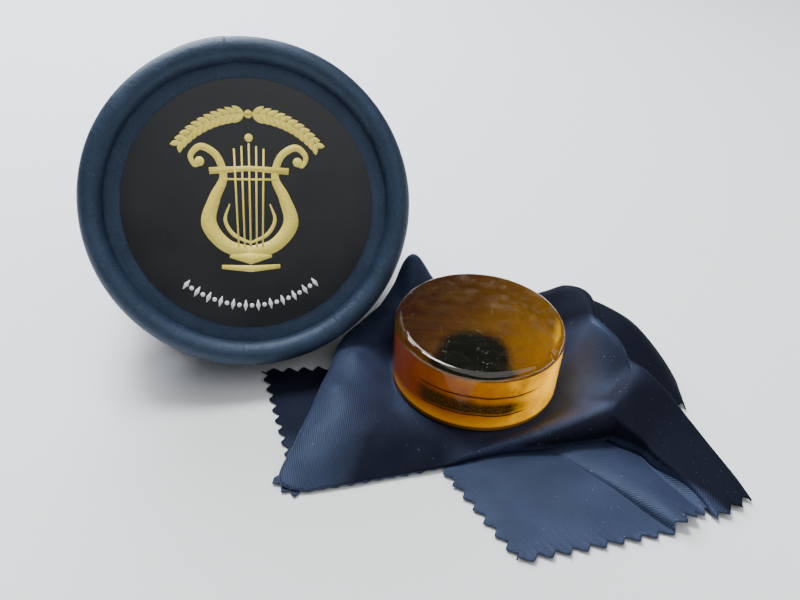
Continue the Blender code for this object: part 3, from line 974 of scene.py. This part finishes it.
def front_panel():
    """The single layer that lies out to the front: four guides run back from the pinked front
    edge, so that both creases are lines of the grid. A pleat rises between the creases and stands
    open at the front."""
    rows = 64
    guides = [even_path(keys, 200) for keys in (
        ((4.9, -49.1), (-7.5, -28.6), (-18.9, -9.7)),
        ((34.9, -42.7), (23.6, -30.2), (13.8, -20.9), (2.0, -10.0)),
        ((41.6, -38.4), (36.1, -28.9), (31.1, -20.0), (24.0, -7.0)),
        ((50.2, -36.0), (45.4, -26.5), (40.0, -17.0), (33.0, -5.0)),
    )]
    depth = np.concatenate((np.linspace(0, 0.06, 8)[:-1], np.linspace(0.06, 0.62, rows - 14),
                            np.linspace(0.62, 1, 8)[1:]))
    even = np.linspace(0, 1, 200)
    at = np.stack([np.stack([np.interp(depth, even, guide[:, k]) for k in (0, 1)], -1) for guide in guides])
    cloth_at = np.array((0.0, 30.9, 41.0, 51.6))
    across = np.arange(0, cloth_at[-1], PITCH / 8)
    across = np.sort(np.append(across, cloth_at[1:3]))
    which = np.clip(np.searchsorted(cloth_at, across, side="right") - 1, 0, 2)
    share = ((across - cloth_at[which]) / (cloth_at[which + 1] - cloth_at[which]))[:, None, None]
    flat = at[which] * (1 - share) + at[which + 1] * share
    flat = flat.transpose(1, 0, 2)
    pleat = np.where(which == 1, share[:, 0, 0], 0.0)
    shape = 1.95 * pleat**0.62 * (1 - pleat) ** 1.25
    forward = 1 - depth[:, None]
    lift = (1.0 + 2.3 * forward**2.2) * shape[None, :]
    side = np.where(which == 2, share[:, 0, 0], 0.0)
    border = np.interp(depth, (0.0, 0.12, 0.3, 0.5, 0.7), (0.35, 1.3, 2.4, 2.6, 0.4))[:, None]
    settle = border * np.sin(np.pi * np.clip(side / 0.72, 0, 1)) ** 1.5
    x = flat[..., 0]
    y = flat[..., 1]
    wave = 0.13 * np.sin(0.35 * x + 0.6) * np.sin(0.28 * y) + 0.10 * np.sin(0.5 * y + 0.2 * x)
    height = 0.62 + lift + settle + wave
    length = walked(np.dstack((flat, height)), 0)
    ahead = flat[1] - flat[0]
    ahead /= np.linalg.norm(ahead, axis=-1, keepdims=True)
    cut = np.clip(1.0 - length / 3.4, 0, 1)[..., None]
    flat = flat - ahead[None] * cut * TOOTH * zigzag(across + 1.2)[None, :, None]
    sideways = np.array((0.97, 0.244))
    cut = np.clip(1.0 - across / 3.4, 0, 1)[None, :, None]
    flat = flat - sideways * cut * TOOTH * zigzag(length[:, :1] + 0.4)[..., None]
    tips = np.exp(-length / 1.8) * (0.10 + 0.16 * np.sin(1.9 * across) ** 2)[None, :]
    points = np.dstack((flat, np.clip(height + tips, 0.42, None)))
    return points, False, np.dstack((np.broadcast_to(across, length.shape), length))


def flap():
    """The flat corner of the cloth that lies out on the left under the fold."""
    across = np.arange(0, 24.0, PITCH / 8)
    down = np.append(np.arange(0, 34.0, PITCH / 8), 34.0)
    u, v = np.meshgrid(across, down, indexing="ij")
    first = np.array((0.997, 0.079))
    second = np.array((0.314, -0.949))
    flat = np.array((-49.6, 3.3)) + u[..., None] * first + v[..., None] * second
    flat = flat - first * (np.clip(1.0 - u / 3.4, 0, 1) * TOOTH * zigzag(v + 0.2))[..., None]
    flat = flat - second * (np.clip(1.0 - v / 3.4, 0, 1) * TOOTH * zigzag(u + 1.0))[..., None]
    height = 0.50 + 0.10 * np.sin(0.4 * u + 0.9) * np.sin(0.33 * v) + 0.22 * np.exp(-(u + v) / 4.0)
    return np.dstack((flat, height)), False, np.dstack((u, v))


def back_layer():
    """The layer behind the bunch on the right: up the inside, over a ridge, and down to the table
    behind, with the cloth's pinked edge at its right end."""
    columns = 88
    inside = even_path(((20.0, 12.0, 5.0), (25.0, 6.0, 6.5), (31.5, -1.0, 6.2), (37.0, -8.5, 3.2),
                        (40.5, -13.0, 1.6)), columns)
    ridge = even_path(((25.6, 16.6, 13.6), (31.5, 12.6, 13.0), (36.8, 8.0, 11.6), (41.0, 2.6, 7.9),
                       (43.4, -3.6, 4.2), (45.6, -8.6, 1.5)), columns)
    table = even_path(((30.0, 25.0, 0.6), (38.5, 18.5, 0.6), (44.5, 10.0, 0.6), (47.6, 2.0, 0.6),
                       (47.6, -4.0, 0.6), (47.3, -9.6, 0.6)), columns)
    t = np.linspace(0, 1, 34)[:, None, None]
    bulging = 4 * (ridge - (inside + table) / 2)
    points = inside + (table - inside) * t + bulging * t * (1 - t)
    points[..., 2] = np.clip(points[..., 2], 0.55, None)
    reach = walked(points, 0)
    run = walked(points, 1)
    ahead = np.gradient(points, axis=1)
    ahead /= np.linalg.norm(ahead, axis=-1, keepdims=True) + 1e-9
    near_end = np.clip(1.0 - (run[:, -1:] - run) / 3.2, 0, 1)[..., None]
    points = points + ahead * near_end * zigzag(reach)[..., None]
    points[..., 2] = np.clip(points[..., 2], 0.5, None)
    return points, False, np.dstack((reach, run))


def joined(name, surfaces):
    """One mesh of several grids, each (points, closed round, place in the cloth), kept just over
    the table."""
    whole = bmesh.new()
    for points, closed, place in surfaces:
        points[..., 2] = np.maximum(points[..., 2], 0.2)
        mesh = grid_mesh(name, points, False, closed, place)
        whole.from_mesh(mesh)
        bpy.data.meshes.remove(mesh)
    bmesh.ops.remove_doubles(whole, verts=whole.verts, dist=1e-7)
    result = bpy.data.meshes.new(name)
    whole.to_mesh(result)
    whole.free()
    result.shade_smooth()
    return result


cloth_surfaces = (main_sheet(), turned_under(), strip(), front_panel(), flap(), back_layer())
cloth_mesh = joined("rosin_cloth_twill", cloth_surfaces)
cloth_mesh.materials.append(twill_finish())
cloth = bpy.data.objects.new("rosin_cloth_twill", cloth_mesh)
bpy.context.scene.collection.objects.link(cloth)
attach(cloth, "cloth")
thickness = cloth.modifiers.new("thickness", "SOLIDIFY")
thickness.thickness = 0.34 * MM
thickness.offset = 0.0
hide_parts("rosin_cloth")

# ---------------------------------------------------------------------------------------------
# The rosin cake: one cast disc of amber rosin, clear enough to see its underside through the top.
# Its upper edge is rounded, the bow has scratched and dusted its top, and the rim has one chip.

CAKE_RADIUS = 19.0
CAKE_HEIGHT = 16.0
CAKE_LEAN = math.radians(3.0)
CAKE_SEAT = 3.0
CAKE_AXES = np.array(((math.cos(CAKE_LEAN), 0.0, -math.sin(CAKE_LEAN)), (0.0, 1.0, 0.0),
                      (math.sin(CAKE_LEAN), 0.0, math.cos(CAKE_LEAN))))
CAKE_PLACE = (CAKE_AXES, np.array((0.0, 0.0, CAKE_SEAT)))
# Each mould seam: its height over the underside, and the bearings in radians where it starts and ends.
SEAMS = ((9.7, -2.41, -0.86), (4.7, -2.38, -0.98))


def cake_places(amber):
    """Wires for a place in the cake: itself, then across, back, and height over the underside."""
    where = amber.node("ShaderNodeTexCoord")["Object"]
    split = amber.node("ShaderNodeSeparateXYZ", None, {"Vector": where})
    lifted = split["Z"] - CAKE_SEAT * MM
    across = split["X"] * math.cos(CAKE_LEAN) - lifted * math.sin(CAKE_LEAN)
    height = split["X"] * math.sin(CAKE_LEAN) + lifted * math.cos(CAKE_LEAN)
    return where, across, split["Y"], height


def stretched(amber, place, turn, size):
    """The same place squeezed along a direction in plan, for streaks that run that way."""
    sockets = {"Vector": place, "Rotation": (0.0, 0.0, turn), "Scale": size}
    return amber.node("ShaderNodeMapping", {"vector_type": "TEXTURE"}, sockets)[0]


def rosin_finish():
    """Clear amber rosin: bow scratches on the top, hairline ripples from the mould on the side,
    a smudged gloss, and white rosin dust gathered on the back and right of the top."""
    amber = Finish("amber_rosin")
    where, across, back, height = cake_places(amber)
    top = height.above(0.0154, 0.0159)
    bow = amber.noise(stretched(amber, where, 0.10, (14.0, 0.35, 1.0)), 900.0, 3.0, 0.6)
    bow_two = amber.noise(stretched(amber, where, -0.22, (18.0, 0.30, 1.0)), 1300.0, 2.0, 0.6)
    scratch = (bow.above(0.56, 0.70) + bow_two.above(0.60, 0.72)) * top
    smear = amber.noise(stretched(amber, where, 0.05, (3.0, 1.0, 1.0)), 260.0, 3.0)
    ripple = amber.noise(stretched(amber, where, 0.0, (6.0, 6.0, 1.0)), 700.0, 2.0)
    fine = amber.noise(where, 2100.0, 2.0)
    depth = scratch * -0.30 + fine * 0.10 + ripple * 0.22 * (1.0 - top)
    lower = 1.0 - height.above(0.0132, 0.0150)
    gloss = 0.035 + scratch * 0.10 + smear.above(0.45, 0.75) * top * 0.12 + lower * (0.05 + smear * 0.05)
    drift = (across * 22.0 + back * 30.0 + 0.12 + (smear - 0.5) * 1.1).above(0.0, 0.9)
    grain = amber.noise(where, 4200.0, 2.0, 0.7).above(0.56, 0.66)
    patch = amber.noise(where, 330.0, 3.0).above(0.50, 0.68)
    speck = amber.noise(where, 2600.0, 1.0).above(0.70, 0.74)
    dust = ((grain * patch * 0.30 + patch * 0.03) * drift + scratch * 0.015 + speck * 0.25) * top
    side_dust = amber.noise(where, 3100.0, 1.0).above(0.71, 0.75) * (1.0 - top) * 0.2
    clear = amber.mix(smear, (1.0, 0.86, 0.56), (1.0, 0.93, 0.70))
    amber.set(
        Base_Color=clear, Roughness=gloss, Normal=amber.bump(depth, 0.00006, 0.7), IOR=1.54,
        Transmission_Weight=1.0, Specular_Tint=(0.35, 0.30, 0.25),
        Coat_Weight=(1.0 - lower) * 0.9, Coat_Roughness=0.04,
    )
    return amber.matt_dust_and_shade((dust + side_dust).above(0.0, 1.0), (0.62, 0.58, 0.48))


def painted_glow_finish():
    """Painted light inside the cake, a glowing colour: brown on the left to bright yellow on the right,
    a dark round place under the middle, a dark cloudy band held between two mould seams, and a glow low in
    front."""
    heart = Finish("amber_painted_glow")
    where, across, back, height = cake_places(heart)
    cloud = heart.noise(where, 210.0, 4.0, 0.6)
    fleck = heart.noise(where, 2300.0, 2.0, 0.7)
    # Painted light: the glow runs from dim brown on the left to bright yellow on the right.
    lit = (across * 31.0 + (cloud - 0.5) * 0.5 + 0.46).above(0.0, 1.0)
    wall = heart.node("ShaderNodeValToRGB", {"stops": (
        (0.00, (0.100, 0.019, 0.0004)), (0.30, (0.170, 0.048, 0.0006)), (0.60, (0.330, 0.135, 0.0012)),
        (0.82, (0.860, 0.470, 0.0020)), (1.00, (1.300, 0.820, 0.0030)))}, {0: lit})[0]
    floor = heart.node("ShaderNodeValToRGB", {"stops": (
        (0.00, (0.026, 0.0060, 0.0003)), (0.45, (0.056, 0.022, 0.0005)),
        (1.00, (0.150, 0.072, 0.0016)))}, {0: lit})[0]
    streak = heart.noise(stretched(heart, where, 0.0, (5.0, 1.0, 1.0)), 420.0, 3.0)
    floor = heart.mix(streak.above(0.45, 0.75) * 0.35, floor, (0.100, 0.055, 0.0022))
    on_wall = height.above(0.0009, 0.0016)
    wall = heart.mix(back.above(-0.004, 0.005), wall, floor)
    nearer = (back + 0.0050) * 0.90
    beside = across + 0.0011
    spot = ((beside * beside + nearer * nearer) ** 0.5 + (cloud - 0.5) * 0.0024).above(0.0074, 0.0094)
    floor = heart.mix(spot, (0.0030, 0.0036, 0.0018), floor)
    colour = heart.mix(on_wall, floor, wall)
    turn = back.maths("ARCTAN2", across)
    wander = (heart.noise(where, 140.0, 2.0) - 0.5) * 0.0011
    level = height + wander
    for high, start, end in SEAMS:
        span = turn.above(start, start + 0.10) * (1.0 - turn.above(end - 0.16, end))
        near = (level - high * MM).maths("ABSOLUTE")
        line = (1.0 - near.above(0.00010, 0.00036)) * span * on_wall
        colour = heart.mix(line * 0.96, colour, (0.012, 0.005, 0.0005))
    fall = turn.above(-2.3, -1.0) * 0.0013
    band = level.above(0.0048, 0.0054) * (1.0 - (level + fall).above(0.0082, 0.0096))
    band = band * turn.above(-2.42, -2.28) * (1.0 - turn.above(-1.25, -0.95))
    grit = fleck.above(0.42, 0.58)
    colour = heart.mix(band * (0.80 + grit * 0.19), colour, (0.010, 0.0085, 0.0026))
    # Painted glow: a brighter band low on the front of the side.
    low = (1.0 - height.above(0.0010, 0.0042)) * (1.0 - back.above(-0.006, 0.0)) * on_wall
    base = heart.mix(low * 0.35, colour, (0.70, 0.36, 0.004))
    # Painted light: the layer glows with its own colour.
    return heart.set(
        Base_Color=base, Roughness=0.8, Specular_IOR_Level=0.0, Emission_Color=base, Emission_Strength=1.05,
    )


def cake_swell(profile, angle):
    """The cake's departures from a true disc: a top worn slightly hollow, faint unevenness of the
    side, two hairline mould seams, and one chip on the upper edge."""
    radius = profile[:, :1]
    height = profile[:, 1:]
    edge = np.clip(1 - np.abs(angle + 0.64 - 2 * np.pi) / 0.07, 0, 1)
    high = np.clip((height - (CAKE_HEIGHT - 1.4)) / 1.4, 0, 1)
    outer = np.clip((radius - CAKE_RADIUS + 2.2) / 2.2, 0, 1)
    chip = -0.95 * edge**0.6 * (high * outer)
    top = height > CAKE_HEIGHT - 0.5
    hollow = -0.10 * (1 - (radius / CAKE_RADIUS) ** 2) * top
    worn = 0.03 * np.sin(2 * angle + 0.16 * radius) * (radius / CAKE_RADIUS) ** 2 * top
    uneven = 0.02 * np.sin(3 * angle + 0.4) + 0.012 * np.sin(8 * angle + height)
    side = (radius > CAKE_RADIUS - 0.8) * uneven
    for level, start, end in SEAMS:
        turn = np.mod(angle + np.pi, 2 * np.pi) - np.pi
        span = np.clip((turn - start) * 12, 0, 1) * np.clip((end - turn) * 12, 0, 1)
        side = side - 0.06 * np.exp(-((height - level) / 0.16) ** 2) * span * (radius > CAKE_RADIUS - 0.1)
    return side + chip, hollow + worn + chip * 0.7


cake_profile = along(
    np.stack((np.linspace(0, CAKE_RADIUS - 1.9, 30), np.full(30, CAKE_HEIGHT)), -1),
    arc((CAKE_RADIUS - 1.7, CAKE_HEIGHT - 1.7), 1.7, 90, 0, 12),
    np.stack((np.full(46, CAKE_RADIUS), np.linspace(CAKE_HEIGHT - 2.0, 0.9, 46)), -1),
    arc((CAKE_RADIUS - 0.7, 0.7), 0.7, 0, -90, 6),
    ((14.0, 0.0), (8.7, 0.0), (8.5, 0.1), (8.4, 0.4), (8.2, 0.5), (4.0, 0.5), (0.0, 0.5)),
)
cake = add_piece(
    "rosin_cake_amber",
    grid_mesh("rosin_cake_amber", turned(cake_profile, CAKE_PLACE, 384, cake_swell), False, True),
    "cake", rosin_finish(),
)
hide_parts("rosin_cake")

# The cake's depth: painted light inside it, a thin glowing layer just within its side and its
# underside. It is seen through the clear top and side, so it bends and shifts as the view does.

inside_profile = along(
    ((0.0, 0.86), (4.0, 0.86), (8.0, 0.86), (13.0, 0.86), (17.2, 0.86)), arc((17.6, 1.9), 1.0, -90, 0, 6),
    np.stack((np.full(20, 18.6), np.linspace(2.2, 13.9, 20)), -1),
    np.stack((np.full(20, 18.78), np.linspace(13.9, 1.4, 20)), -1),
    ((18.4, 0.9), (17.6, 0.68), (13.0, 0.68), (8.0, 0.68), (0.0, 0.68)),
)
depth = add_piece(
    "rosin_cake_glow_layer",
    grid_mesh("rosin_cake_glow_layer", turned(inside_profile, CAKE_PLACE, 240), False, True),
    "cake", painted_glow_finish(),
)

# ---------------------------------------------------------------------------------------------
# The plain pale table, two soft lights from above and behind on the left, a wide weak one from the
# front on the right, and the camera.


def table_finish():
    """A plain pale matt table."""
    pale = Finish("pale_table")
    return pale.set(Base_Color=(0.86, 0.86, 0.855), Roughness=0.85)


table_mesh = bpy.data.meshes.new("table")
SPAN = 3.0
table_corners = [(-SPAN, -SPAN, 0), (SPAN, -SPAN, 0), (SPAN, SPAN, 0), (-SPAN, SPAN, 0)]
table_mesh.from_pydata(table_corners, [], [(0, 1, 2, 3)])
table_mesh.materials.append(table_finish())
table = bpy.data.objects.new("table", table_mesh)
table.location.z = -0.05 * MM
bpy.context.scene.collection.objects.link(table)

world = bpy.data.worlds.new("studio")
world.use_nodes = True
world.node_tree.nodes["Background"].inputs["Color"].default_value = (0.93, 0.96, 1.0, 1.0)
world.node_tree.nodes["Background"].inputs["Strength"].default_value = 0.075
bpy.context.scene.world = world


def soft_light(name, place, target, size, power, colour):
    """A square soft light that faces a point."""
    lamp = bpy.data.lights.new(name, "AREA")
    lamp.shape = "SQUARE"
    lamp.size = size
    lamp.energy = power
    lamp.color = colour
    holder = bpy.data.objects.new(name, lamp)
    holder.location = place
    ray = Vector(target) - Vector(place)
    holder.rotation_euler = ray.to_track_quat("-Z", "Y").to_euler()
    bpy.context.scene.collection.objects.link(holder)


soft_light("window", (-0.26, 0.50, 0.44), (0, 0, 0.01), 0.46, 7.4, (0.88, 0.94, 1.0))
soft_light("skylight", (-0.15, 0.17, 0.62), (0, 0, 0.01), 0.20, 5.0, (0.95, 0.97, 1.0))
soft_light("room", (0.16, -0.22, 0.62), (-0.02, 0, 0.02), 0.95, 3.8, (0.96, 0.98, 1.0))

camera = bpy.data.cameras.new("camera")
camera.lens = 33.75
camera.sensor_width = 36.0
camera.clip_start = 0.005
viewer = bpy.data.objects.new("camera", camera)
viewer.location = (-0.0171, -0.132, 0.120)
viewer.rotation_euler = (math.radians(54.0), 0.0, 0.0)
bpy.context.scene.collection.objects.link(viewer)
bpy.context.scene.camera = viewer
